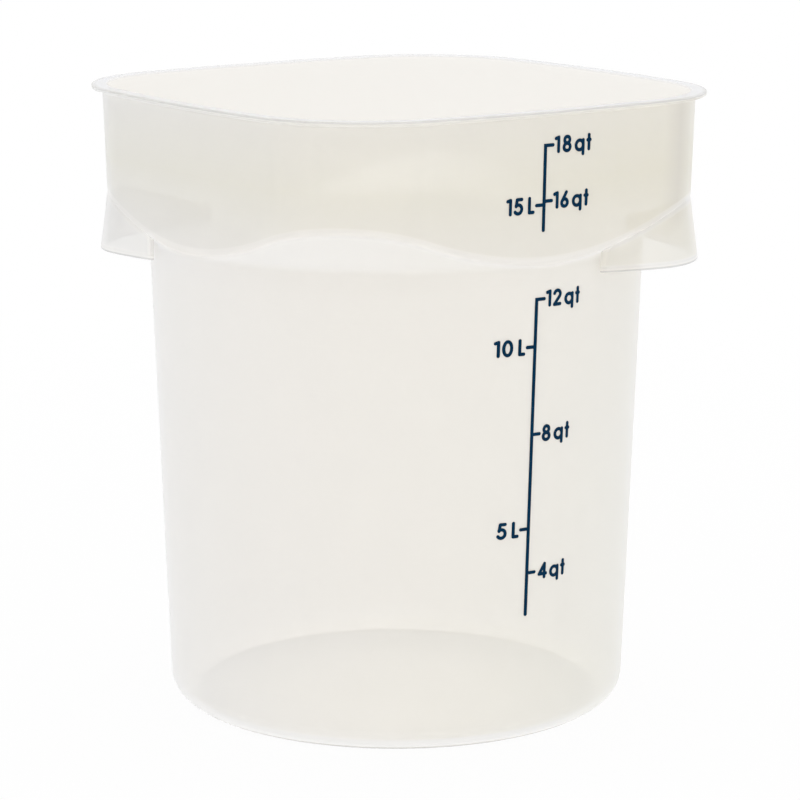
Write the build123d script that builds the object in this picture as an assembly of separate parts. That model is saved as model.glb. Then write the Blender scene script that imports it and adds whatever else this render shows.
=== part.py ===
from build123d import *
from math import atan2, cos, degrees, hypot, radians, sin, sqrt, tan
import os

os.makedirs("parts", exist_ok=True)

# A round tub of translucent plastic for proofing dough. A rounded-square collar on top
# has its corners on the X and Y axes, and the two corners on X carry the lifting skirts.
# Millimetres and degrees. Z = 0 is the bench, and the tub's axis is the Z axis.

# Whole tub: the body up to the shoulder, and the collar from there to the rim's top
body_height = 259.0
collar_height = 79.5
wall = 2.8
floor_thickness = 3.2

# Round body
foot_radius = 125.4
body_draft = 2.04
foot_edge_radius = 14.0
foot_recess_depth = 1.2
foot_ring_width = 1.9

# Collar: a square of slightly bowed sides and round corners, measured at the rim's outer
# edge. Where its flats meet the shoulder they stand out by flat_ledge beyond the body.
rim_side_radius = 745.0
rim_corner_radius = 73.4
flat_ledge = 0.43
rim_overhang = 5.9
rim_thickness = 2.4
rim_edge_radius = 0.9
rim_root_radius = 2.0
collar_draft = 1.76

# Shoulder under the collar
shoulder_angle = 41.0
shoulder_root_radius = 7.0
shoulder_crease_radius = 3.5

# Lifting skirts under the collar's two X corners, down to skirt_drop below the shoulder.
# They flare out from the crease, where the shoulder meets the collar's wall, in a rounded
# square of flatter sides than the collar's.
skirt_drop = 11.3
skirt_thickness = 2.6
skirt_flare = 7.6
skirt_side_radius = 1590.0
skirt_half_width = 70.7
skirt_end_height = 14.0
skirt_end_lean = 14.0
skirt_end_slant = 45.0
skirt_hem_radius = 820.0
skirt_root_rise = 8.0

# Printed volume scale
ink_thickness = 0.15
print_azimuth = 42.2
line_width = 2.0
tick_width = 1.85
tick_length = 4.7
body_line_lean = 0.45
collar_line_offset = 2.35
line_tail = 22.5
label_gap = 0.4
digit_height = 8.75
stroke_width = 1.85
letter_gap = 1.45
quart_gap = 2.4
litre_gap = 3.3
quart_drop = 0.15
litre_rise = 0.35

# How far each mark of the body is printed below the shoulder
drop_12_qt = 18.1
drop_10_l = 42.9
drop_8_qt = 89.6
drop_5_l = 140.2
drop_4_qt = 164.3

# How far each mark of the collar, and the foot of its line, is printed below the rim's top
drop_18_qt = 18.0
drop_16_qt = 46.7
drop_15_l = 48.5
collar_line_drop = 61.6

# Each sign of the print as shares of the digits' height: its width, then its strokes by
# their middle lines. A bar runs between two points, a ring has a centre and two radii,
# and a bow has a centre, a radius, a start angle and a sweep.
sign_shares = {
    "1": (0.36, [("bar", 0.27, 0.086, 0.27, 0.914), ("bar", 0.27, 0.914, 0.07, 0.857)]),
    "2": (0.62, [("bow", 0.31, 0.69, 0.224, -35, 200), ("bar", 0.493, 0.562, 0.1, 0.086),
                 ("bar", 0.1, 0.086, 0.534, 0.086)]),
    "4": (0.76, [("bar", 0.62, 0.086, 0.62, 0.914), ("bar", 0.62, 0.914, 0.22, 0.30),
                 ("bar", 0.22, 0.30, 0.734, 0.30)]),
    "5": (0.64, [("bar", 0.54, 0.914, 0.22, 0.914), ("bar", 0.22, 0.914, 0.15, 0.53),
                 ("bow", 0.295, 0.345, 0.259, -145, 270)]),
    "6": (0.60, [("ring", 0.30, 0.30, 0.214, 0.214), ("bar", 0.117, 0.39, 0.42, 0.914)]),
    "8": (0.69, [("ring", 0.375, 0.30, 0.229, 0.214), ("ring", 0.375, 0.725, 0.19, 0.19)]),
    "0": (0.69, [("ring", 0.345, 0.50, 0.259, 0.414)]),
    "q": (0.71, [("ring", 0.355, 0.358, 0.27, 0.28), ("bar", 0.625, 0.64, 0.625, -0.165)]),
    "t": (0.36, [("bar", 0.19, 0.086, 0.19, 0.914), ("bar", 0.086, 0.62, 0.274, 0.62)]),
    "L": (0.45, [("bar", 0.086, 0.914, 0.086, 0.086), ("bar", 0.086, 0.086, 0.364, 0.086)]),
}

# One overrun for every cutting shape
overrun = 1.0

# Heights that follow
tub_height = body_height + collar_height
skirt_bottom_height = body_height - skirt_drop


def body_radius(height, inset=0):
    return foot_radius + height * tan(radians(body_draft)) - inset / cos(radians(body_draft))


def collar_inset(height):
    """How far the collar's wall stands inside the rim's outline at a height."""
    return rim_overhang + (tub_height - height) * tan(radians(collar_draft))


def side_offset(side_radius, flat_reach):
    """How far behind the axis, along X and along Y, the centre of a bowed side lies."""
    return (side_radius - flat_reach) * cos(radians(45))


def rim_flat_reach():
    return body_radius(body_height) + flat_ledge + collar_inset(body_height)


def rim_corner_reach():
    """How far a corner of the rim stands from the axis, its arc tangent to both sides."""
    behind = side_offset(rim_side_radius, rim_flat_reach())
    centre = sqrt((rim_side_radius - rim_corner_radius)**2 - behind**2) - behind
    return centre + rim_corner_radius


def rounded_square(side_radius, corner_radius, flat_reach, corner_reach):
    """A square of bowed sides and round corners, with a corner on each axis."""
    corner_centre = corner_reach - corner_radius
    side_x = side_offset(side_radius, flat_reach)
    turn = degrees(atan2(side_x, side_x + corner_centre))
    curves = []
    for quarter in range(4):
        heading = quarter * 90
        corner = Vector(corner_centre, 0).rotate(Axis.Z, heading)
        side = Vector(-side_x, -side_x).rotate(Axis.Z, heading)
        corner_arc = CenterArc(corner, corner_radius, heading - turn, 2 * turn)
        side_arc = CenterArc(side, side_radius, heading + turn, 90 - 2 * turn)
        curves += [corner_arc, side_arc]
    return make_face(Wire(curves))


def outline(inset):
    """The collar's rounded square, drawn in from the rim's edge by inset all round."""
    return rounded_square(rim_side_radius - inset, rim_corner_radius - inset,
                          rim_flat_reach() - inset, rim_corner_reach() - inset)


def prism(bottom, top, bottom_inset, top_inset):
    """A solid between two outlines of the collar, one above the other."""
    lower = Pos(0, 0, bottom) * outline(bottom_inset)
    upper = Pos(0, 0, top) * outline(top_inset)
    return loft([lower, upper], ruled=True)


def revolved(points, root=None, root_radius=0, edge=None, edge_radius=0):
    """A solid of revolution from a half profile, with up to two of its corners rounded."""
    profile = make_face(Polyline(*points, close=True))
    for place, radius in ((root, root_radius), (edge, edge_radius)):
        if place:
            corner = profile.vertices().sort_by_distance((place[0], place[1]))[0]
            profile = fillet(corner, radius)
    return revolve(Plane.XZ * profile, Axis.Z)


def flared_body(inset, floor_height, edge_radius, root_radius):
    """The round body and its flaring shoulder, up past the rim, drawn in by inset."""
    slope = tan(radians(shoulder_angle))
    drop = inset / cos(radians(shoulder_angle))
    draft = tan(radians(body_draft))
    reach = rim_corner_reach() + overrun
    # The body's wall and the shoulder meet where the two lines cross
    start = body_radius(0, inset)
    seat = body_radius(body_height)
    meet = (body_height - slope * seat + drop + slope * start) / (1 - slope * draft)
    meet_radius = start + meet * draft
    floor_radius = start + floor_height * draft
    outer = meet + slope * (reach - meet_radius)
    points = [
        (0, floor_height),
        (floor_radius, floor_height),
        (meet_radius, meet),
        (reach, outer),
        (reach, tub_height + overrun),
        (0, tub_height + overrun),
    ]
    return revolved(points, points[2], root_radius, points[1], edge_radius)


def crease_edges(blank):
    """The wavy edge where the shoulder turns up into the collar's wall."""
    low = body_height - shoulder_root_radius
    high = crease_height() + shoulder_root_radius
    wavy = blank.edges().filter_by(lambda edge: edge.geom_type not in (GeomType.LINE, GeomType.CIRCLE))
    return [edge for edge in wavy
            if low < edge.bounding_box().min.Z and edge.bounding_box().max.Z < high]


def rimmed(blank):
    """The blank with its rim: a flat flange with round edges and a filleted root."""
    flanged = blank + prism(tub_height - rim_thickness, tub_height, 0, 0)
    underside = flanged.faces().filter_by(Axis.Z).sort_by(Axis.Z)[-2]
    flanged = flanged.fillet(rim_root_radius, underside.inner_wires()[0].edges())
    underside, top = flanged.faces().filter_by(Axis.Z).sort_by(Axis.Z)[-2:]
    return flanged.fillet(rim_edge_radius, underside.outer_wire().edges() + top.outer_wire().edges())


def tub_shape():
    below = -overrun
    above = tub_height + overrun
    blank = flared_body(0, 0, foot_edge_radius, shoulder_root_radius)
    blank &= prism(below, tub_height, collar_inset(below), collar_inset(tub_height))
    blank = blank.fillet(shoulder_crease_radius, crease_edges(blank))
    hollow = flared_body(wall, foot_recess_depth + floor_thickness,
                         foot_edge_radius - wall, shoulder_root_radius + wall)
    hollow &= prism(below, above, collar_inset(below) + wall, collar_inset(above) + wall)
    shell = rimmed(blank) - hollow
    mouth = shell.faces().filter_by(Axis.Z).sort_by(Axis.Z)[-1].inner_wires()[0]
    shell = shell.fillet(rim_edge_radius, mouth.edges())
    recess_radius = foot_radius - foot_edge_radius - foot_ring_width
    recess = Pos(0, 0, foot_recess_depth / 2) * Cylinder(recess_radius, foot_recess_depth)
    return shell + (skirts() - hollow) - recess


def skirts():
    """Both flared curtains, before the tub's hollow is cut."""
    shell = skirt_prism(0) - skirt_prism(skirt_thickness)
    hem = Pos(0, 0, skirt_bottom_height + skirt_hem_radius) * Rot(0, 90, 0) * Cylinder(
        skirt_hem_radius, 2 * rim_corner_reach())
    return shell & hem & skirt_side_view()


def skirt_prism(inset):
    """A solid inside the skirts' outer faces, from below their hem to above their root."""
    bottom = skirt_bottom_height - overrun
    top = skirt_root_height()
    lower = Pos(0, 0, bottom) * skirt_outline(bottom, inset)
    upper = Pos(0, 0, top) * skirt_outline(top, inset)
    return loft([lower, upper], ruled=True)


def skirt_outline(height, inset):
    """The skirts' rounded square at a height. At each corner and each flat of the collar
    it meets the crease there."""
    flare = tan(radians(skirt_flare))
    flat = body_radius(body_height) + flat_ledge + (body_height - height) * flare - inset
    root = crease_height()
    corner = rim_corner_reach() - collar_inset(root) + (root - height) * flare - inset
    # The hem's own side radius, so that the sides at every height are offsets of each other
    side_radius = skirt_side_radius - (height - skirt_bottom_height) * flare - inset
    behind = side_offset(side_radius, flat)
    beyond = corner + behind
    corner_radius = (side_radius**2 - beyond**2 - behind**2) / (side_radius - beyond) / 2
    return rounded_square(side_radius, corner_radius, flat, corner)


def crease_height():
    """Where the shoulder reaches the collar's wall at a corner."""
    rise = tan(radians(shoulder_angle))
    lean = tan(radians(collar_draft))
    corner = rim_corner_reach() - rim_overhang
    start = body_height + rise * (corner - tub_height * lean - body_radius(body_height))
    return start / (1 - rise * lean)


def skirt_root_height():
    return crease_height() + skirt_root_rise


def skirt_side_view():
    """The skirts' outline seen along X: steep ends that slant in towards the crease."""
    bottom = skirt_bottom_height - overrun
    bend = skirt_bottom_height + skirt_end_height
    top = skirt_root_height()
    lean = tan(radians(skirt_end_lean))
    half_bottom = skirt_half_width + overrun * lean
    half_bend = skirt_half_width - skirt_end_height * lean
    half_top = half_bend - (top - bend) * tan(radians(skirt_end_slant))
    points = [
        (-half_bottom, bottom),
        (half_bottom, bottom),
        (half_bend, bend),
        (half_top, top),
        (-half_top, top),
        (-half_bend, bend),
    ]
    face = Plane.YZ * make_face(Polyline(*points, close=True))
    return extrude(face, amount=rim_corner_reach(), both=True)


def bar(x0, y0, x1, y1):
    """A round-ended stroke between two points."""
    length = hypot(x1 - x0, y1 - y0)
    middle = Pos((x0 + x1) / 2, (y0 + y1) / 2, 0) * Rot(0, 0, degrees(atan2(y1 - y0, x1 - x0)))
    return middle * SlotCenterToCenter(length, stroke_width)


def ring(x, y, radius_x, radius_y):
    """A closed round or oval stroke."""
    half = stroke_width / 2
    hole = Ellipse(radius_x - half, radius_y - half)
    return Pos(x, y, 0) * (Ellipse(radius_x + half, radius_y + half) - hole)


def bow(x, y, radius, start, sweep):
    """A round-ended stroke along an arc."""
    return SlotArc(CenterArc((x, y), radius, start, sweep), stroke_width)


def sign(letter):
    """One digit or letter, standing on the origin."""
    drawn = None
    for kind, *shares in sign_shares[letter][1]:
        angles = shares[3:] if kind == "bow" else []
        sizes = [share * digit_height for share in (shares[:3] if kind == "bow" else shares)]
        stroke = {"bar": bar, "ring": ring, "bow": bow}[kind](*sizes, *angles)
        drawn = stroke if drawn is None else drawn + stroke
    return drawn


def label(amount, unit):
    """The signs of a label and its whole width, from its lower left corner."""
    x = 0
    faces = []
    for letter in amount:
        faces.append(Pos(x, 0, 0) * sign(letter))
        x += sign_shares[letter][0] * digit_height + letter_gap
    x += (quart_gap if unit == "qt" else litre_gap) - letter_gap
    drop = quart_drop if unit == "qt" else 0
    for letter in unit:
        faces.append(Pos(x, -drop, 0) * sign(letter))
        x += sign_shares[letter][0] * digit_height + letter_gap
    return faces, x - letter_gap


def mark(name):
    """The tick and label of one mark about the line's middle, at the mark's own height."""
    amount, unit = name.split("_")
    side = 1 if unit == "qt" else -1
    near = line_width / 2
    straight = tick_length - tick_width / 2
    tick = Pos(side * (near + straight / 2), 0, 0) * Rectangle(straight, tick_width)
    tick += Pos(side * (near + straight), 0, 0) * Circle(tick_width / 2)
    signs, width = label(amount, "qt" if unit == "qt" else "L")
    gap = near + tick_length + label_gap
    left = gap if side > 0 else -gap - width
    rise = litre_rise if side < 0 else 0
    return [tick] + [Pos(left, rise - digit_height / 2, 0) * face for face in signs]


def line(bottom, top):
    """The upright line of a scale, with a round foot."""
    upright = Pos(0, (bottom + top) / 2, 0) * Rectangle(line_width, top - bottom)
    return upright + Pos(0, bottom, 0) * Circle(line_width / 2)


def print_plane(offset, lean):
    """The upright plane through the tub's axis that the print is laid out on."""
    turn = radians(print_azimuth)
    outward = (sin(turn), -cos(turn), 0)
    rightward = (cos(turn), sin(turn), 0)
    flat = Plane(origin=(0, 0, 0), x_dir=rightward, z_dir=outward)
    return flat * Pos(offset, body_height, 0) * Rot(0, 0, lean) * Pos(0, -body_height, 0)


def body_skin():
    """A thin coat on the round body's wall."""
    top = body_height
    points = [
        (body_radius(0), 0),
        (body_radius(0) + ink_thickness, 0),
        (body_radius(top) + ink_thickness, top),
        (body_radius(top), top),
    ]
    return revolved(points)


def collar_skin():
    """A thin coat on the collar's wall."""
    bottom = body_height
    top = tub_height
    low = collar_inset(bottom)
    high = collar_inset(top)
    coated = prism(bottom, top, low - ink_thickness, high - ink_thickness)
    return coated - prism(bottom, top, low, high)


def ink(faces, height, place, skin):
    """Faces drawn about a height, laid on a coat of the wall as separate solids."""
    solids = []
    for face in faces:
        column = extrude(place * Pos(0, height, 0) * face, amount=rim_corner_reach())
        solids += (column & skin).solids()
    return Compound(children=solids)


def scale(place, skin, heights, foot, line_name):
    """One scale as nodes: its line and each of its marks."""
    top = max(heights.values()) + tick_width / 2
    nodes = {line_name: ink([line(foot, top)], 0, place, skin)}
    for name, height in heights.items():
        nodes["mark_" + name] = ink(mark(name), height, place, skin)
    return nodes


body_heights = {
    "12_qt": body_height - drop_12_qt,
    "10_l": body_height - drop_10_l,
    "8_qt": body_height - drop_8_qt,
    "5_l": body_height - drop_5_l,
    "4_qt": body_height - drop_4_qt,
}
collar_heights = {
    "18_qt": tub_height - drop_18_qt,
    "16_qt": tub_height - drop_16_qt,
    "15_l": tub_height - drop_15_l,
}
body_foot = min(body_heights.values()) - line_tail
collar_foot = tub_height - collar_line_drop

nodes = {"tub": tub_shape()}
nodes |= scale(print_plane(0, -body_line_lean), body_skin(), body_heights, body_foot, "body_scale_line")
nodes |= scale(print_plane(collar_line_offset, 0), collar_skin(), collar_heights, collar_foot,
               "collar_scale_line")
for name, shape in nodes.items():
    export_step(shape, "parts/" + name + ".step")
    print(name, len(shape.solids()), round(shape.volume, 1))
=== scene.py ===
import math

import bpy
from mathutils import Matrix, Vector


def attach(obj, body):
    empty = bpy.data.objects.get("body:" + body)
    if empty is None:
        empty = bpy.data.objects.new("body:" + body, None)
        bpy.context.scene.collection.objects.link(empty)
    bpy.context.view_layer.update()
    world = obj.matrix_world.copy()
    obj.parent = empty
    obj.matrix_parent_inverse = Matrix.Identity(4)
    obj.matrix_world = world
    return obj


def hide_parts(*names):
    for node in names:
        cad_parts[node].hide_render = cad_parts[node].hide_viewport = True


# A round dough tub of milky plastic with a rounded-square collar, two lifting skirts under
# the collar's X corners and a printed scale. Metres, +Z up, the tub's foot on the origin.

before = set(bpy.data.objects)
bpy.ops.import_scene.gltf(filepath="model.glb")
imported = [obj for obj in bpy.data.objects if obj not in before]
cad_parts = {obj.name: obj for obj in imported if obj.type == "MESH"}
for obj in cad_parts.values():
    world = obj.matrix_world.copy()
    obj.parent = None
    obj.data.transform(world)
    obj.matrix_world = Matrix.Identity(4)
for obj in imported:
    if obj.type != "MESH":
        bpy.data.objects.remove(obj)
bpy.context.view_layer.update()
print("frame: loaded", len(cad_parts), "nodes")


class Wire:  # an output socket that does sums: each operator adds a Math node to its tree
    def __init__(self, board, socket):
        self.board = board
        self.socket = socket

    def math(self, operation, *others):
        return self.board.sum(operation, self, *others)

    def __add__(self, other):
        return self.math("ADD", other)

    def __radd__(self, other):
        return self.math("ADD", other)

    def __sub__(self, other):
        return self.math("SUBTRACT", other)

    def __rsub__(self, other):
        return self.board.sum("SUBTRACT", other, self)

    def __mul__(self, other):
        return self.math("MULTIPLY", other)

    def __rmul__(self, other):
        return self.math("MULTIPLY", other)

    def __truediv__(self, other):
        return self.math("DIVIDE", other)

    def __pow__(self, other):
        return self.math("POWER", other)

    def root(self):
        return self.math("SQRT")

    def parts(self):
        first = self.board.add("ShaderNodeSeparateXYZ", {}, {"Vector": self})
        return [Wire(self.board, output) for output in first.socket.node.outputs]


class Board:  # a node tree, and the one method that puts a node on it
    def __init__(self, tree):
        self.tree = tree

    def add(self, kind, settings=None, inputs=None, output=0):
        node = self.tree.nodes.new(kind)
        for name, value in (settings or {}).items():
            if name == "stops":
                self.setStops(node.color_ramp.elements, value)
            elif name == "group":
                node.node_tree = value
            else:
                setattr(node, name, value)
        for name, value in (inputs or {}).items():
            if isinstance(value, (Wire, list)):
                for wire in value if isinstance(value, list) else [value]:
                    self.tree.links.new(wire.socket, node.inputs[name])
            else:
                node.inputs[name].default_value = value
        return Wire(self, node.outputs[output]) if node.outputs else node

    def setStops(self, elements, stops):
        while len(elements) < len(stops):
            elements.new(1)
        for element, (place, colour) in zip(elements, stops):
            element.position = place
            element.color = colour

    def sum(self, operation, *values):
        return self.add("ShaderNodeMath", {"operation": operation}, dict(enumerate(values)))


def newGroup(name, inputs, output):
    # A Geometry Nodes tree with named inputs, its board and a wire for each input
    tree = bpy.data.node_groups.new(name, "GeometryNodeTree")
    for label, kind, value in inputs:
        socket = tree.interface.new_socket(label, in_out="INPUT", socket_type=kind)
        if value is not None:
            socket.default_value = value
    tree.interface.new_socket(output[0], in_out="OUTPUT", socket_type=output[1])
    board = Board(tree)
    node = tree.nodes.new("NodeGroupInput")
    wires = {label: Wire(board, node.outputs[label]) for label, _, _ in inputs}
    return board, wires


def endGroup(board, wire):
    node = board.tree.nodes.new("NodeGroupOutput")
    board.tree.links.new(wire.socket, node.inputs[0])
    return board.tree


number, whole, solid, thing = ("NodeSocket" + kind for kind in ("Float", "Int", "Geometry", "Object"))

# Tub

tub = {
    "bodyHeight": 0.2590,
    "collarHeight": 0.0795,
    "wall": 0.0028,
    "floor": 0.0032,
    "footRadius": 0.1254,
    "bodyDraft": math.radians(2.04),
    "footEdge": 0.0140,
    "footRecess": 0.0012,
    "footRing": 0.0019,
    "recessEdge": 0.0004,
    "sideRadius": 0.7450,
    "cornerRadius": 0.0734,
    "flatLedge": 0.00043,
    "overhang": 0.0059,
    "rimThickness": 0.0024,
    "rimEdge": 0.0009,
    "rimRoot": 0.0020,
    "collarDraft": math.radians(1.76),
    "shoulderAngle": math.radians(41),
    "rootBlend": 0.0042,  # the gap over which the body's wall and the shoulder blend
    "innerRootBlend": 0.0059,
    "creaseBlend": 0.0021,
    "creaseFade": 0.0060,  # how far the crease has to rise before its blend is whole
    "innerCrease": 0.5,  # how much of the crease's blend the inside does without
    "shoulderFrom": 0.9,  # of the body's height, below which the wall is the plain cone
    "followFrom": 0.2545,  # the height from which the rows follow the crease, outside
    "innerFollowFrom": 0.2555,  # and inside
    "creaseMargin": 0.0040,  # above and below the crease, where the rows lie close
    "creaseRounds": 3,  # each round is thirty times closer
    "crowding": 1.6,  # how much closer together the rows lie at the shoulder's root
    "around": 400,
    "bodyRows": 16,
    "shoulderRows": 18,
    "creaseRows": 16,
    "collarRows": 10,
    "footSteps": 14,
    "recessSteps": 3,
    "rimRootSteps": 6,
    "rimSteps": 5,
    "lipRows": 2,  # the first rows of the lip's round edge, which still count as outside
    "floorShares": (0, 0.25, 0.5, 0.75, 0.95),  # of the way out from the middle
    "undersideShares": (0.5, 0.15),  # of the way in from the rim's edge
    "topShares": (0.1, 0.35, 0.65, 0.9),
    "sharpAngle": math.radians(30),
    "mergeGap": 1e-6,
}

skirt = {
    "drop": 0.0113,
    "thickness": 0.0026,
    "flare": math.radians(7.6),
    "sideRadius": 1.5900,
    "halfWidth": 0.0707,
    "endHeight": 0.0140,
    "endLean": math.radians(14),
    "endEdge": 0.0009,
    "hemRadius": 0.8200,
    "hemEdge": 0.0006,
    "rise": 0.0020,  # into the collar's wall above the crease
    "topInset": 0.35,  # of the thickness, at the top that is sunk in the collar's wall
    "topRow": 0.97,  # of the way up, just under that top
    "across": 110,
    "rows": 16,
    "hemSteps": 4,
    "endSteps": 3,  # the columns that round each end
    "firstLift": 0.5,  # the height and the angle that the rounds start from
    "firstAngle": 0.45,
    "rounds": 5,
}

elsewhere = 1.0  # the gap that is kept where a skin has no rim or no hem

tubHeight = tub["bodyHeight"] + tub["collarHeight"]
bodySlope = math.tan(tub["bodyDraft"])
collarSlope = math.tan(tub["collarDraft"])
shoulderRise = math.tan(tub["shoulderAngle"])
seatRadius = tub["footRadius"] + tub["bodyHeight"] * bodySlope
flatReach = seatRadius + tub["flatLedge"] + tub["overhang"] + tub["collarHeight"] * collarSlope
sideBehind = (tub["sideRadius"] - flatReach) / math.sqrt(2)
cornerCentre = math.sqrt((tub["sideRadius"] - tub["cornerRadius"])**2 - sideBehind**2) - sideBehind
cornerReach = cornerCentre + tub["cornerRadius"]


def bodyRadius(height):
    return tub["footRadius"] + height * bodySlope


def collarInset(height):
    return tub["overhang"] + (tubHeight - height) * collarSlope


def creaseHeight(reach):
    # Where the shoulder meets the collar's wall, below the rim's edge at that reach
    foot = reach - tub["overhang"] - tubHeight * collarSlope  # the wall, drawn down to the bench
    start = tub["bodyHeight"] + shoulderRise * (foot - seatRadius)
    return start / (1 - shoulderRise * collarSlope)


def arc(centre, radius, start, end, count):
    # Points along an arc, angles in degrees, as pairs of a distance and a height
    angles = [math.radians(start + (end - start) * step / count) for step in range(count + 1)]
    return [(centre[0] + radius * math.cos(angle), centre[1] + radius * math.sin(angle))
            for angle in angles]


def steps(count):
    return [step / count for step in range(count + 1)]


def tubRecipe():
    # The rows of the tub's skin from the middle of its underside, out and up, over the rim
    # and down inside to the middle of its floor, and where the inside starts. A row is how
    # far it lies inside the outer skin, how much its height follows the crease, and its
    # height where the crease is lowest.
    lowCrease = creaseHeight(flatReach)
    draftShare = math.cos(tub["bodyDraft"])
    rows = []

    def byRadius(points):
        rows.extend(((bodyRadius(height) - radius) * draftShare, 0, height) for radius, height in points)

    def byInset(points):
        rows.extend((inset - collarInset(height), 0, height) for inset, height in points)

    def wallRows(pull, foot, crease, root, top):
        # Up one side of the wall, following the crease between its root and its top
        gap = tub["creaseMargin"]
        rows.extend((pull, 0, foot + (root - foot) * share) for share in steps(tub["bodyRows"])[1:])
        for share in steps(tub["shoulderRows"])[1:]:
            follow = share**tub["crowding"]
            rows.append((pull, follow, root + (crease - gap - root) * follow))
        rows.extend((pull, 1, crease - gap + 2 * gap * share) for share in steps(tub["creaseRows"])[1:])
        for share in steps(tub["collarRows"])[1:]:
            rows.append((pull, 1 - share, crease + gap + (top - crease - gap) * share))

    edge, recess = tub["recessEdge"], tub["footRecess"]
    ring = tub["footRadius"] - tub["footEdge"] - tub["footRing"]
    byRadius([(ring * share, recess) for share in tub["floorShares"]])
    byRadius(arc((ring - edge, recess - edge), edge, 90, 0, tub["recessSteps"]))
    byRadius(arc((ring + edge, edge), edge, 180, 270, tub["recessSteps"]))
    footEdge, draft = tub["footEdge"], math.degrees(tub["bodyDraft"])
    footCentre = bodyRadius(footEdge) - footEdge / draftShare
    byRadius(arc((footCentre, footEdge), footEdge, -90, -draft, tub["footSteps"]))

    rimRoot, rimEdge = tub["rimRoot"], tub["rimEdge"]
    underside = tubHeight - tub["rimThickness"]
    neck = underside - rimRoot
    wallRows(0, rows[-1][2], lowCrease, tub["followFrom"], neck)
    inset = collarInset(neck) - rimRoot
    byInset(arc((inset, neck), rimRoot, 0, 90, tub["rimRootSteps"])[1:])
    byInset([(rimEdge + (inset - rimEdge) * share, underside) for share in tub["undersideShares"]])
    byInset(arc((rimEdge, underside + rimEdge), rimEdge, 270, 180, tub["rimSteps"]))
    byInset(arc((rimEdge, tubHeight - rimEdge), rimEdge, 180, 90, tub["rimSteps"]))
    mouth = tub["overhang"] + tub["wall"]
    lip = mouth - rimEdge
    byInset([(rimEdge + (lip - rimEdge) * share, tubHeight) for share in tub["topShares"]])
    insideFrom = len(rows) + tub["lipRows"]
    byInset(arc((lip, tubHeight - rimEdge), rimEdge, 90, 0, tub["rimSteps"]))

    wall = tub["wall"]
    floorTop = recess + tub["floor"]
    innerEdge = footEdge - wall
    innerCentre = bodyRadius(floorTop + innerEdge) - (wall + innerEdge) / draftShare
    floorArc = arc((innerCentre, floorTop + innerEdge), innerEdge, -90, -draft, tub["footSteps"])
    innerCrease = lowCrease + wall * (1 / math.cos(tub["shoulderAngle"]) - shoulderRise)
    downFrom = len(rows)
    wallRows(wall, floorArc[-1][1], innerCrease, tub["innerFollowFrom"], tubHeight - rimEdge)
    inside = rows[downFrom:-1]
    del rows[downFrom:]
    rows.extend(reversed(inside))
    byRadius(reversed(floorArc))
    byRadius([(innerCentre * share, floorTop) for share in reversed(tub["floorShares"])])
    return rows, insideFrom


def skirtRecipe():
    # The closed loop of a skirt's section from its top, down outside and up inside. A row is
    # how far it lies inside the outer face, its share of the way from the hem up to the
    # crease, and its lift above that. The rows on both sides pair up, to close at the ends.
    edge, thick = skirt["hemEdge"], skirt["thickness"]
    shares = [skirt["topRow"]] + [1 - share for share in steps(skirt["rows"])[1:-1]]
    outer = [(thick * skirt["topInset"], 1, 0)] + [(0, share, 0) for share in shares]
    outer += [(inset, 0, lift) for inset, lift in arc((edge, edge), edge, 180, 270, skirt["hemSteps"])]
    inner = [(thick - inset, share, lift) for inset, share, lift in reversed(outer)]
    return outer + [(thick / 2, 0, 0)] + inner + outer[:1]


def addOutlineGroup():
    # The polar radius of a rounded square with a corner on each axis: bowed sides that run
    # tangent into the corner arcs
    board, size = newGroup("roundedSquare", [
        ("Angle", number, 0), ("Side radius", number, 1), ("Corner radius", number, 1),
        ("Flat reach", number, 1), ("Corner reach", number, 1)], ("Radius", number))
    quarter = math.pi / 2
    turned = (size["Angle"] + quarter / 2).math("FLOORED_MODULO", quarter) - quarter / 2
    angle = turned.math("ABSOLUTE")
    cosine, sine = angle.math("COSINE"), angle.math("SINE")
    centre = size["Corner reach"] - size["Corner radius"]
    behind = (size["Side radius"] - size["Flat reach"]) / math.sqrt(2)
    along = behind * (cosine + sine)
    side = (along**2 - 2 * behind**2 + size["Side radius"]**2).root() - along
    near = centre * cosine
    corner = near + (near**2 - centre**2 + size["Corner radius"]**2).root()
    bearing = board.sum("ARCTAN2", side * sine + behind, side * cosine + behind)
    joint = board.sum("ARCTAN2", behind, centre + behind)
    onSide = bearing.math("GREATER_THAN", joint)
    return endGroup(board, onSide * side + (1 - onSide) * corner)


outlineGroup = addOutlineGroup()
sizeInputs = [
    ("Body height", number, tub["bodyHeight"]), ("Tub height", number, tubHeight),
    ("Foot radius", number, tub["footRadius"]), ("Body slope", number, bodySlope),
    ("Shoulder rise", number, shoulderRise), ("Overhang", number, tub["overhang"]),
    ("Collar slope", number, collarSlope), ("Side radius", number, tub["sideRadius"]),
    ("Corner radius", number, tub["cornerRadius"]), ("Flat reach", number, flatReach),
    ("Corner reach", number, cornerReach)]


def collarRadius(board, size, angle, height, pull=0):
    # The collar's wall at an angle and height, drawn in by pull
    inset = size["Overhang"] + (size["Tub height"] - height) * size["Collar slope"] + pull
    return board.add("GeometryNodeGroup", {"group": outlineGroup}, {
        "Angle": angle, "Side radius": size["Side radius"] - inset,
        "Corner radius": size["Corner radius"] - inset, "Flat reach": size["Flat reach"] - inset,
        "Corner reach": size["Corner reach"] - inset})


def addCreaseGroup():
    # The height at which the shoulder's cone meets the collar's wall at an angle
    board, size = newGroup("creaseHeight", [("Angle", number, 0)] + sizeInputs, ("Height", number))
    seat = size["Foot radius"] + size["Body height"] * size["Body slope"]
    height = size["Body height"]
    for _ in range(tub["creaseRounds"]):
        reach = collarRadius(board, size, size["Angle"], height)
        height = size["Body height"] + (reach - seat) * size["Shoulder rise"]
    return endGroup(board, height)


creaseGroup = addCreaseGroup()


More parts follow.
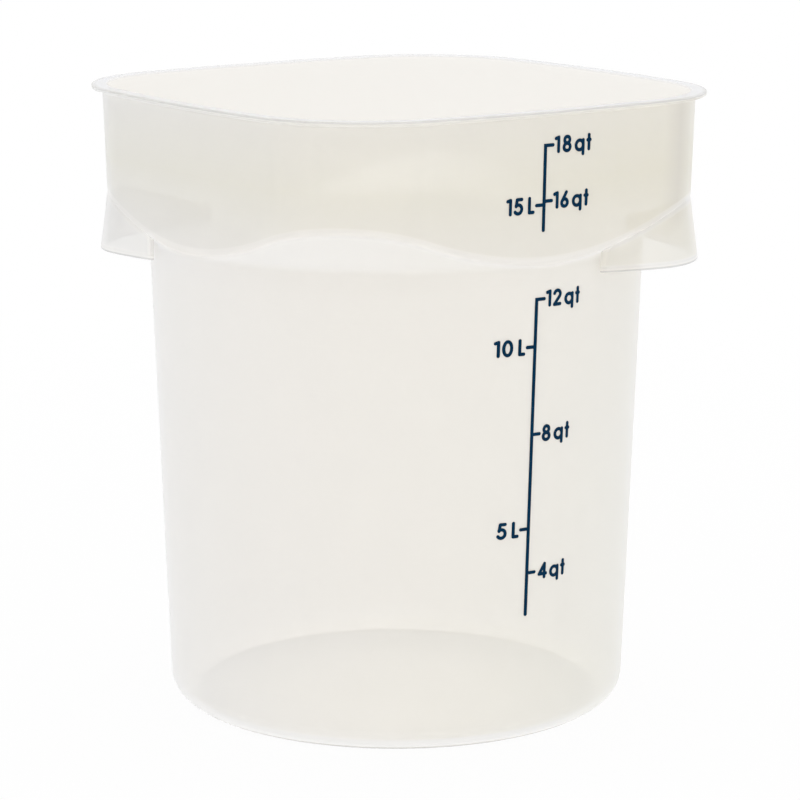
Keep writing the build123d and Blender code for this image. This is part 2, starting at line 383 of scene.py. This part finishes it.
def creaseAt(board, size, angle):
    inputs = {label: size[label] for label, _, _ in sizeInputs}
    return board.add("GeometryNodeGroup", {"group": creaseGroup}, {"Angle": angle, **inputs})


def gridRows(board, recipe, count):
    # A grid with a row for each point of the recipe, each of its points' row, how far round
    # it is, and the recipe's three numbers there
    points = board.add("GeometryNodeObjectInfo", {}, {"Object": recipe}, "Geometry")
    rows = board.add("GeometryNodeAttributeDomainSize", {"component": "MESH"}, {"Geometry": points})
    columns = count + 1
    grid = board.add("GeometryNodeMeshGrid", {}, {"Vertices X": rows, "Vertices Y": columns})
    index = board.add("GeometryNodeInputIndex")
    row = ((index + 0.5) / columns).math("FLOOR")
    place = board.add("GeometryNodeInputPosition")
    values = board.add("GeometryNodeSampleIndex", {"data_type": "FLOAT_VECTOR", "domain": "POINT"},
                       {"Geometry": points, "Value": place, "Index": row})
    return grid, row, (index - row * columns) / count, values.parts()


def placed(board, grid, angle, radius, height, gaps, turned=False):
    # The grid with its points at an angle, radius and height, closed along its seams. Each
    # point keeps its gap to the rim's edge, the crease and the hem, and if it lies inside.
    for name, gap in gaps.items():
        grid = board.add("GeometryNodeStoreNamedAttribute", {"data_type": "FLOAT", "domain": "POINT"},
                         {"Geometry": grid, "Name": name, "Value": gap})
    place = board.add("ShaderNodeCombineXYZ", {}, {
        "X": radius * angle.math("COSINE"), "Y": radius * angle.math("SINE"), "Z": height})
    moved = board.add("GeometryNodeSetPosition", {}, {"Geometry": grid, "Position": place})
    if turned:  # the recipe runs the other way round its section
        moved = board.add("GeometryNodeFlipFaces", {}, {"Mesh": moved})
    return board.add("GeometryNodeMergeByDistance", {}, {"Geometry": moved, "Distance": tub["mergeGap"]})


def tubSweep(board, size):
    # The tub's wall, floor and rim: its recipe swept round, each row between the body's
    # cone, the shoulder's cone and the collar's rounded square
    grid, row, share, (pull, follow, low) = gridRows(board, size["Tub recipe"], size["Steps round"])
    angle = share * (2 * math.pi)
    crease = creaseAt(board, size, angle)
    lowest = creaseAt(board, size, math.pi / 4)
    height = low + follow * (crease - lowest)
    body = size["Foot radius"] + height * size["Body slope"]
    seat = size["Foot radius"] + size["Body height"] * size["Body slope"]
    bodyWall = body - pull * (size["Body slope"]**2 + 1).root()
    slant = (size["Shoulder rise"]**2 + 1).root()
    shoulder = seat + (height - size["Body height"] - pull * slant) / size["Shoulder rise"]
    inner = (pull / size["Wall"]).math("MINIMUM", 1).math("MAXIMUM", 0)
    rootBlend = size["Root blend"] + inner * (size["Inner root blend"] - size["Root blend"])
    flared = board.sum("SMOOTH_MAX", bodyWall, shoulder, rootBlend)
    collar = collarRadius(board, size, angle, height, pull)
    rising = ((crease - lowest) / size["Crease fade"]).math("MINIMUM", 1)
    creaseBlend = size["Crease blend"] * rising * (1 - tub["innerCrease"] * inner)
    creased = board.sum("SMOOTH_MIN", flared, collar, creaseBlend)
    above = height.math("GREATER_THAN", size["Body height"] * tub["shoulderFrom"])
    radius = above * creased + (1 - above) * bodyWall
    rimGap = pull + size["Overhang"] + (size["Tub height"] - height) * size["Collar slope"]
    gaps = {"rimGap": rimGap, "creaseGap": height - crease, "hemGap": elsewhere,
            "inside": row.math("GREATER_THAN", size["Inside from"] - 0.5)}
    return placed(board, grid, angle, radius.math("MAXIMUM", 0), height, gaps, turned=True)


def skirtSweep(board, size, turn):
    # One lifting skirt: its recipe swept across a corner of the collar, the height and the
    # angle of each point found in rounds, because each depends on the other
    grid, _, share, (inset, lift, extra) = gridRows(board, size["Skirt recipe"], size["Steps across"])
    flare, bottom = size["Flare slope"], size["Skirt bottom"]
    root = creaseAt(board, size, 0)
    flat = flatReach - collarInset(tub["bodyHeight"]) + (size["Body height"] - bottom) * flare
    corner = collarRadius(board, size, 0, root) + (root - bottom) * flare
    sideRadius = size["Skirt side radius"]
    behind = (sideRadius - flat) / math.sqrt(2)
    beyond = corner + behind
    cornerRadius = (sideRadius**2 - beyond**2 - behind**2) / (2 * (sideRadius - beyond))

    column = share * size["Steps across"]
    middle = size["Steps across"] / 2
    fromEnd = middle - (column - middle).math("ABSOLUTE")
    ends = skirt["endSteps"]
    rounding = (fromEnd / ends).math("MINIMUM", 1) * (math.pi / 2)
    side = (column - middle).math("SIGN")
    across = side * (1 - (fromEnd - ends).math("MAXIMUM", 0) / (middle - ends))
    centre = size["Skirt thickness"] / 2
    depth = centre + (inset - centre) * rounding.math("SINE")

    height = bottom + lift * (root - bottom) * skirt["firstLift"]
    angle = across * skirt["firstAngle"]
    for _ in range(skirt["rounds"]):
        rise = height - bottom
        slanted = (rise - size["End height"]).math("MAXIMUM", 0)
        half = size["Half width"] - (rise - slanted) * math.tan(skirt["endLean"]) - slanted
        offset = across * (half - size["End edge"]) + side * size["End edge"] * rounding.math("COSINE")
        drawn = rise * flare + depth
        radius = board.add("GeometryNodeGroup", {"group": outlineGroup}, {
            "Angle": angle, "Side radius": sideRadius - drawn,
            "Corner radius": cornerRadius - drawn, "Flat reach": flat - drawn,
            "Corner reach": corner - drawn})
        angle = (offset / radius).math("ARCSINE")
        hem = bottom + size["Hem radius"] - (size["Hem radius"]**2 - offset**2).root()
        top = creaseAt(board, size, angle) + size["Rise"]
        height = hem + lift * (top - hem) + extra
    gaps = {"rimGap": elsewhere, "creaseGap": height + size["Rise"] - top, "hemGap": height - hem,
            "inside": 0.0}
    return placed(board, grid, angle + turn, radius, height, gaps)


def addTubGroup(material):
    # The whole moulding: the swept tub and its two skirts in one skin
    board, size = newGroup("tubMoulding", [
        ("Tub recipe", thing, None), ("Skirt recipe", thing, None), ("Inside from", whole, 1),
        ("Steps round", whole, tub["around"]), ("Steps across", whole, skirt["across"]),
        ("Root blend", number, tub["rootBlend"]), ("Inner root blend", number, tub["innerRootBlend"]),
        ("Crease blend", number, tub["creaseBlend"]), ("Crease fade", number, tub["creaseFade"]),
        ("Wall", number, tub["wall"]), ("Skirt bottom", number, tub["bodyHeight"] - skirt["drop"]),
        ("Flare slope", number, math.tan(skirt["flare"])), ("Skirt thickness", number, skirt["thickness"]),
        ("Skirt side radius", number, skirt["sideRadius"]), ("Half width", number, skirt["halfWidth"]),
        ("End height", number, skirt["endHeight"]), ("End edge", number, skirt["endEdge"]),
        ("Hem radius", number, skirt["hemRadius"]), ("Rise", number, skirt["rise"])] + sizeInputs,
        ("Tub", solid))
    solids = [tubSweep(board, size)] + [skirtSweep(board, size, turn) for turn in (0, math.pi)]
    joined = board.add("GeometryNodeMeshBoolean", {"operation": "UNION", "solver": "MANIFOLD"},
                       {"Mesh 2": solids})
    smooth = board.add("GeometryNodeSetShadeSmooth", {}, {"Geometry": joined})
    bend = board.add("GeometryNodeInputMeshEdgeAngle")
    sharp = bend.math("GREATER_THAN", tub["sharpAngle"])
    edged = board.add("GeometryNodeSetShadeSmooth", {"domain": "EDGE"},
                      {"Geometry": smooth, "Selection": sharp, "Shade Smooth": False})
    real = board.add("GeometryNodeRealizeInstances", {}, {"Geometry": edged})
    made = board.add("GeometryNodeSetMaterial", {}, {"Geometry": real, "Material": material})
    return endGroup(board, made)


def recipeObject(name, rows):
    mesh = bpy.data.meshes.new(name)
    mesh.from_pydata(rows, [], [])
    made = bpy.data.objects.new(name, mesh)
    bpy.context.scene.collection.objects.link(made)
    return made


def makeTub(material):
    # The plain mesh that the tree makes of the two recipes
    rows, insideFrom = tubRecipe()
    recipes = {"Tub recipe": recipeObject("tubRecipe", rows),
               "Skirt recipe": recipeObject("skirtRecipe", skirtRecipe())}
    seed = recipeObject("tubSeed", [])
    modifier = seed.modifiers.new("moulding", "NODES")
    modifier.node_group = addTubGroup(material)
    for item in modifier.node_group.interface.items_tree:
        if item.name in recipes:
            modifier[item.identifier] = recipes[item.name]
        if item.name == "Inside from":
            modifier[item.identifier] = insideFrom
    bpy.context.view_layer.update()
    moulded = seed.evaluated_get(bpy.context.evaluated_depsgraph_get())
    made = bpy.data.meshes.new_from_object(moulded)
    made.name = "tubShell"
    seed.modifiers.remove(modifier)
    for spare in (seed, *recipes.values()):
        bpy.data.objects.remove(spare)
    shell = bpy.data.objects.new("tubShell", made)
    bpy.context.scene.collection.objects.link(shell)
    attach(shell, "root")
    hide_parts("tub")
    print("tub:", len(made.vertices), "points,", len(made.polygons), "faces")
    return shell


# Milky polypropylene

plastic = {
    "milkShare": 0.48,  # of the light that meets a wall, the rest goes straight through
    "grazingShare": 0.45,  # added for a wall outside that is seen along its face
    "topShare": 0.5,  # how much less of that the rim's top gets
    "clearTint": (0.985, 0.97, 0.945, 1),  # at each side of a wall
    "scatterDepth": 0.003,
    "ior": 1.49,
    "roughness": 0.32,
    "roughnessSpread": 0.08,
    "lineSpacing": 0.0016,  # the faint level lines that the mould leaves
    "lineDepth": 0.00004,
    "lineRun": 50,  # how much longer than its spacing a line is
    "cloudSize": 0.06,
    "cloudStrength": 0.018,
    # The milk's colour up the tub, by heights as shares of the whole
    "body": [(0.0, (0.985, 0.970, 0.920, 1)), (0.09, (0.985, 0.965, 0.910, 1)),
             (0.20, (0.967, 0.945, 0.918, 1)), (0.45, (0.941, 0.935, 0.921, 1)),
             (0.72, (0.935, 0.926, 0.912, 1)), (0.76, (0.912, 0.904, 0.890, 1)),
             (0.82, (0.907, 0.899, 0.885, 1))],
    "collar": [(0.76, (0.858, 0.849, 0.825, 1)), (0.82, (0.848, 0.838, 0.797, 1)),
               (0.89, (0.823, 0.811, 0.740, 1)), (0.96, (0.843, 0.833, 0.788, 1)),
               (0.99, (0.848, 0.840, 0.810, 1)), (1.0, (0.830, 0.825, 0.800, 1))],
    "inside": [(0.0, (0.965, 0.940, 0.868, 1)), (0.0134, (0.965, 0.940, 0.868, 1)),
               (0.020, (0.975, 0.955, 0.920, 1)), (0.75, (0.978, 0.962, 0.934, 1)),
               (0.92, (0.990, 0.975, 0.945, 1)), (0.975, (0.995, 0.990, 0.985, 1)),
               (0.99, (1.0, 1.0, 1.0, 1))],
    "collarFade": (-0.0005, 0.0015),  # over the crease, from the body's colour to the collar's
    "skirt": (0.905, 0.897, 0.868, 1),
    "paintedLightLeft": (0.980, 0.995, 1.035, 1),  # painted light, cooler on this side and warmer towards the other
    "paintedLightRight": (0.985, 0.980, 0.945, 1),
    "fold": (0.72, 0.70, 0.65, 1),  # painted shade: a darker upright streak near the corner on that side, where the curved wall bends the light away
    "cornerShadeShare": 0.8,
    "cornerShadeTurn": math.radians(-9.2),
    "cornerShadeReach": math.radians(5.5),
    "cornerShadeFade": (-0.012, 0.002),  # over the crease
    # Painted shade: the flange's top is greyer, to hold down the light and gloss that it catches from above
    "rim": (0.72, 0.735, 0.775, 1),
    "rimFade": (0.0011, 0.0007),  # below the rim's top
    # Painted shade: a dark line along the rim's edge and the skirts' hem, where the round edges bend the
    # light away
    "paintedEdgeShade": (0.57, 0.58, 0.59, 1),
    "rimEdgeShadeFade": (0.0004, 0.0030),  # in from the rim's edge
    "hemEdgeShadeFade": (0.0007, 0.0013),  # up from the hem
    # Painted contact shadow: a dark band on the tub's foot just above the bench
    "paintedContactShadow": (0.50, 0.49, 0.47, 1),
    "contactShadowFade": (0.0018, 0.0032),  # up from the bench
    "footFade": (0.028, 0.0305),  # in from the rim's edge, past which the underside lies
    "bright": (0.995, 0.99, 0.975, 1),  # where the crease, the hem and the foot gather light
    "creaseCentre": 0.0006,  # above the crease
    "creaseReach": 0.0032,
    "hemCentre": 0.0024,  # above the hem
    "hemReach": 0.0014,
    "footCentre": 0.0057,  # above the bench
    "footReach": 0.0028,
    "footShare": 0.8,
    "footSides": (0.04, 0.11),  # how far towards each skirt its bright line fades
    "gatherShare": -0.12,  # added where an edge gathers light
    "insideShare": -0.13,  # and inside
}


def newMaterial(name):
    material = bpy.data.materials.new(name)
    material.use_nodes = True
    material.node_tree.nodes.clear()
    return material, Board(material.node_tree)


def fade(value, start, end):
    # 0 up to the start and 1 past the end
    return ((value - start) / (end - start)).math("MINIMUM", 1).math("MAXIMUM", 0)


def ridge(value, centre, reach):
    # 1 at the centre, down to 0 at the reach on both sides
    return (1 - (value - centre).math("ABSOLUTE") / reach).math("MAXIMUM", 0)


def tinted(board, base, colour, share, kind="MIX"):
    return board.add("ShaderNodeMix", {"data_type": "RGBA", "blend_type": kind},
                     {"Factor": share, "A": base, "B": colour}, "Result")


def milkTone(board, place, gaps):
    # The milk's colour up the tub, on each side of the crease and the wall, with its soft
    # clouds, painted light that warms towards one side and a painted shade near one corner
    along, aside, height = place.parts()
    share = height / tubHeight
    body, collar, inner = (board.add("ShaderNodeValToRGB", {"stops": plastic[side]}, {0: share})
                           for side in ("body", "collar", "inside"))
    outer = tinted(board, body, collar, fade(gaps["creaseGap"], *plastic["collarFade"]))
    outer = tinted(board, outer, plastic["skirt"], gaps["hemGap"].math("LESS_THAN", elsewhere / 2))
    cloud = board.add("ShaderNodeTexNoise", {}, {
        "Vector": place, "Scale": 1 / plastic["cloudSize"], "Detail": 3.0, "Roughness": 0.55})
    shade = (cloud - 0.5) * plastic["cloudStrength"] + 1
    grey = board.add("ShaderNodeCombineColor", {}, {0: shade, 1: shade, 2: shade})
    # Painted light: the milk turns cooler to the left and warmer to the right, as if lit from there
    rightward = fade(along, -cornerReach, cornerReach)
    across = tinted(board, plastic["paintedLightLeft"], plastic["paintedLightRight"], rightward)
    colour = tinted(board, tinted(board, outer, inner, gaps["inside"]), across, 1.0, "MULTIPLY")
    colour = tinted(board, colour, grey, 1.0, "MULTIPLY")
    # Painted shade: a darker upright streak near one corner, outside, from just under the crease up
    turn = board.sum("ARCTAN2", aside, along)
    fold = ridge(turn, plastic["cornerShadeTurn"], plastic["cornerShadeReach"])
    fold = fold * fade(gaps["creaseGap"], *plastic["cornerShadeFade"]) * (1 - gaps["inside"])
    return tinted(board, colour, plastic["fold"], fold * plastic["cornerShadeShare"])


def edgeTone(board, place, gaps, colour):
    # The colour with its edges, where they gather light, and where the rim's top is. The flange's
    # top is painted greyer as shade, with a painted dark line of shade on its edge and on the hem,
    # and a painted contact shadow low on the foot. The crease, the hem and the front and back of the foot
    # gather light, as painted highlights.
    along, _, height = place.parts()
    outside = 1 - gaps["inside"]
    onTop = fade(height, *(tubHeight - below for below in plastic["rimFade"]))
    onEdge = 1 - fade(gaps["rimGap"], *plastic["rimEdgeShadeFade"])
    crease = ridge(gaps["creaseGap"], plastic["creaseCentre"], plastic["creaseReach"]) * outside
    hem = ridge(gaps["hemGap"], plastic["hemCentre"], plastic["hemReach"])
    onFoot = (1 - fade(gaps["rimGap"], *plastic["footFade"])) * outside
    foot = ridge(height, plastic["footCentre"], plastic["footReach"]) * onFoot
    foot = foot * (1 - fade(along.math("ABSOLUTE"), *plastic["footSides"])) * plastic["footShare"]
    gather = crease.math("MAXIMUM", hem).math("MAXIMUM", foot)
    hemEdgeShade = 1 - fade(gaps["hemGap"], *plastic["hemEdgeShadeFade"])
    paintedContactShadow = (1 - fade(height, *plastic["contactShadowFade"])) * onFoot
    # Painted shade on the flange, its edge and the hem, painted highlights, and the painted contact shadow
    for tone, share in (("rim", onTop), ("paintedEdgeShade", onTop * onEdge), ("bright", gather.root()),
                        ("paintedEdgeShade", hemEdgeShade), ("paintedContactShadow", paintedContactShadow)):
        colour = tinted(board, colour, plastic[tone], share)
    return colour, gather, onTop


def addPlastic():
    # The side of a wall that the light meets first scatters its share inside the wall, and
    # the far side lets the rest out
    material, board = newMaterial("milkyPlastic")
    place = board.add("ShaderNodeTexCoord", {}, {}, "Object")
    gaps = {name: board.add("ShaderNodeAttribute", {"attribute_name": name}, {}, "Fac")
            for name in ("rimGap", "creaseGap", "hemGap", "inside")}
    colour, gather, onTop = edgeTone(board, place, gaps, milkTone(board, place, gaps))

    # The mould's level lines: noise drawn out flat round the tub
    run = 1 / plastic["lineRun"]
    flat = board.add("ShaderNodeMapping", {}, {"Vector": place, "Scale": (run, run, 1)})
    lines = board.add("ShaderNodeTexNoise", {}, {
        "Vector": flat, "Scale": 1 / plastic["lineSpacing"], "Detail": 2.0, "Roughness": 0.6})
    relief = board.add("ShaderNodeBump", {}, {
        "Strength": 1.0, "Distance": plastic["lineDepth"], "Height": lines}, "Normal")
    roughness = plastic["roughness"] + (lines - 0.5) * plastic["roughnessSpread"]

    clear = board.add("ShaderNodeBsdfTransparent", {}, {"Color": plastic["clearTint"]})
    milk = board.add("ShaderNodeBsdfPrincipled", {}, {
        "Base Color": colour, "Roughness": roughness, "IOR": plastic["ior"], "Normal": relief,
        "Subsurface Weight": 1.0, "Subsurface Radius": (1, 1, 1),
        "Subsurface Scale": plastic["scatterDepth"]})
    farSide = board.add("ShaderNodeNewGeometry", {}, {}, "Backfacing")
    grazing = board.add("ShaderNodeLayerWeight", {}, {"Blend": 0.5}, "Facing")
    edgeOn = grazing * (1 - gaps["inside"].math("MAXIMUM", onTop * plastic["topShare"]))
    share = plastic["milkShare"] + gather * plastic["gatherShare"] + gaps["inside"] * plastic["insideShare"]
    share = (share + edgeOn * plastic["grazingShare"]) * (1 - farSide)
    wall = board.add("ShaderNodeMixShader", {}, {0: share, 1: clear, 2: milk})
    board.add("ShaderNodeOutputMaterial", {}, {"Surface": wall})
    return material


shell = makeTub(addPlastic())

# Print

ink = {
    "colour": (0.0004, 0.0255, 0.0680, 1),
    "thin": (0.0010, 0.0350, 0.0880, 1),  # where the printing screen left less of it
    "grainSize": 0.0012,
    "patchSize": 0.009,
    "patchShare": 0.7,  # of the pattern, the rest is the grain
    "thinFade": (0.42, 0.66),
    "roughness": 0.42,
    "roughnessSpread": 0.18,
    "relief": 0.00003,
    "gloss": 0.04,
}


def addInk():
    # Printed ink: patches where it lies thinner, over a fine grain
    material, board = newMaterial("scaleInk")
    place = board.add("ShaderNodeTexCoord", {}, {}, "Object")
    grain = board.add("ShaderNodeTexNoise", {}, {
        "Vector": place, "Scale": 1 / ink["grainSize"], "Detail": 2.0, "Roughness": 0.6})
    patches = board.add("ShaderNodeTexNoise", {}, {
        "Vector": place, "Scale": 1 / ink["patchSize"], "Detail": 3.0, "Roughness": 0.5})
    thin = fade(patches * ink["patchShare"] + grain * (1 - ink["patchShare"]), *ink["thinFade"])
    relief = board.add("ShaderNodeBump", {}, {
        "Strength": 1.0, "Distance": ink["relief"], "Height": grain}, "Normal")
    skin = board.add("ShaderNodeBsdfPrincipled", {}, {
        "Base Color": tinted(board, ink["colour"], ink["thin"], thin), "Normal": relief,
        "Roughness": ink["roughness"] + (grain - 0.5) * ink["roughnessSpread"],
        "Specular IOR Level": ink["gloss"]})
    board.add("ShaderNodeOutputMaterial", {}, {"Surface": skin})
    return material


inkMaterial = addInk()
for name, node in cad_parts.items():
    if name != "tub":
        for slot in node.material_slots:
            slot.material = inkMaterial
print("print: inked", len(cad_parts) - 1, "nodes")

# Studio

studio = {
    "floorSize": 30.0,
    "floorGlow": 0.95,  # how much of the floor's own white is seen, over its shadows
    "farReach": 1.2,  # where all of it is
    "floorColour": (0.92, 0.92, 0.92, 1),
    "middleShade": 0.12,  # how much darker the floor is under the tub's middle
    "middleReach": 0.05,
    "underShade": 0.14,  # how much more than that towards the foot
    "ringShade": 0.33,  # and how dark it is where the foot meets it
    "ringReach": 0.0035,
    "frontShare": 0.3,  # of that shade in front, because the lamps stand there
    "frontReach": 0.4,  # of the foot's radius past the axis, where all of it is
    "tableGlow": 0.85,  # the floor's own white as light on the tub
    "worldAmbient": 0.6,
    "cameraDistance": 1.72371,
    "cameraHeight": 0.53027,
    "cameraTurn": math.radians(9.61),
    "cameraPitch": math.radians(11.99),
    "lens": 143.43,  # mm, as the sensor's width
    "sensor": 36,
    "shift": 0.0046,
    "nearest": 0.05,
    "farthest": 100,
    "lampTarget": (0, 0, 0.15),
    "lamps": {"softBoxTop": {"place": (0, 0.3, 2.6), "size": 1.2, "power": 18},
              "softBoxFront": {"place": (0, -1.0, 2.4), "size": 1.6, "power": 8}},
}


def seenRay(board):
    # 1 for the rays that show a surface as it is: to the camera, in gloss and through glass
    path = board.tree.nodes.new("ShaderNodeLightPath")
    rays = [Wire(board, path.outputs[name]) for name in
            ("Is Camera Ray", "Is Glossy Ray", "Is Transmission Ray")]
    return rays[0].math("MAXIMUM", rays[1]).math("MAXIMUM", rays[2])


def addFloor():
    half = studio["floorSize"] / 2
    mesh = bpy.data.meshes.new("floor")
    mesh.from_pydata([(-half, -half, 0), (half, -half, 0), (half, half, 0), (-half, half, 0)], [],
                     [(0, 1, 2, 3)])
    floor = bpy.data.objects.new("floor", mesh)
    bpy.context.scene.collection.objects.link(floor)
    material, board = newMaterial("paleFloor")
    place = board.add("ShaderNodeTexCoord", {}, {}, "Object")
    reach = board.add("ShaderNodeVectorMath", {"operation": "LENGTH"}, {0: place}, "Value")
    seat = tub["footRadius"] - tub["footEdge"]
    shade = studio["middleShade"] + fade(reach, studio["middleReach"], seat) * studio["underShade"]
    under = reach.math("LESS_THAN", seat) * shade
    ring = ridge(reach, seat - studio["ringReach"], studio["ringReach"]) * studio["ringShade"]
    front = studio["frontShare"]
    behind = front + (1 - front) * fade(place.parts()[1], -seat, seat * studio["frontReach"])
    tone = 1 - under.math("MAXIMUM", ring) * behind
    paint = board.add("ShaderNodeCombineColor", {}, {0: tone, 1: tone, 2: tone})
    shaded = tinted(board, paint, studio["floorColour"], 1.0, "MULTIPLY")
    matt = board.add("ShaderNodeBsdfDiffuse", {}, {"Color": shaded})
    glow = board.add("ShaderNodeEmission", {}, {"Color": paint, "Strength": 1.0})
    near = studio["floorGlow"]
    seen = near + fade(reach, tub["footRadius"], studio["farReach"]) * (1 - near)
    toEye = seenRay(board)
    mixed = board.add("ShaderNodeMixShader", {}, {
        0: toEye * seen + (1 - toEye) * studio["tableGlow"], 1: matt, 2: glow})
    board.add("ShaderNodeOutputMaterial", {}, {"Surface": mixed})
    mesh.materials.append(material)


def addWorld():
    world = bpy.data.worlds.new("studioWorld")
    bpy.context.scene.world = world
    world.use_nodes = True
    world.node_tree.nodes.clear()
    board = Board(world.node_tree)
    ambient = studio["worldAmbient"]
    strength = ambient + seenRay(board) * (1 - ambient)
    back = board.add("ShaderNodeBackground", {}, {"Color": (1, 1, 1, 1), "Strength": strength})
    board.add("ShaderNodeOutputWorld", {}, {"Surface": back})


def addLamp(name, place, size, power):
    # A square soft box that faces the tub
    data = bpy.data.lights.new(name, "AREA")
    data.shape = "SQUARE"
    data.size = size
    data.energy = power
    lamp = bpy.data.objects.new(name, data)
    lamp.location = place
    aim = Vector(studio["lampTarget"]) - Vector(place)
    lamp.rotation_euler = aim.to_track_quat("-Z", "Y").to_euler()
    bpy.context.scene.collection.objects.link(lamp)


def addCamera():
    data = bpy.data.cameras.new("camera")
    data.sensor_fit = "HORIZONTAL"
    data.sensor_width = studio["sensor"]
    data.lens = studio["lens"]
    data.shift_x = studio["shift"]
    data.clip_start = studio["nearest"]
    data.clip_end = studio["farthest"]
    camera = bpy.data.objects.new("camera", data)
    turn = studio["cameraTurn"]
    camera.location = (studio["cameraDistance"] * math.sin(turn),
                       -studio["cameraDistance"] * math.cos(turn), studio["cameraHeight"])
    camera.rotation_euler = (math.pi / 2 - studio["cameraPitch"], 0, turn)
    bpy.context.scene.collection.objects.link(camera)
    bpy.context.scene.camera = camera


addCamera()
addFloor()
addWorld()
for name, lamp in studio["lamps"].items():
    addLamp(name, **lamp)
bpy.context.scene.view_settings.view_transform = "Standard"
print("studio: camera, floor, world and lamps set")
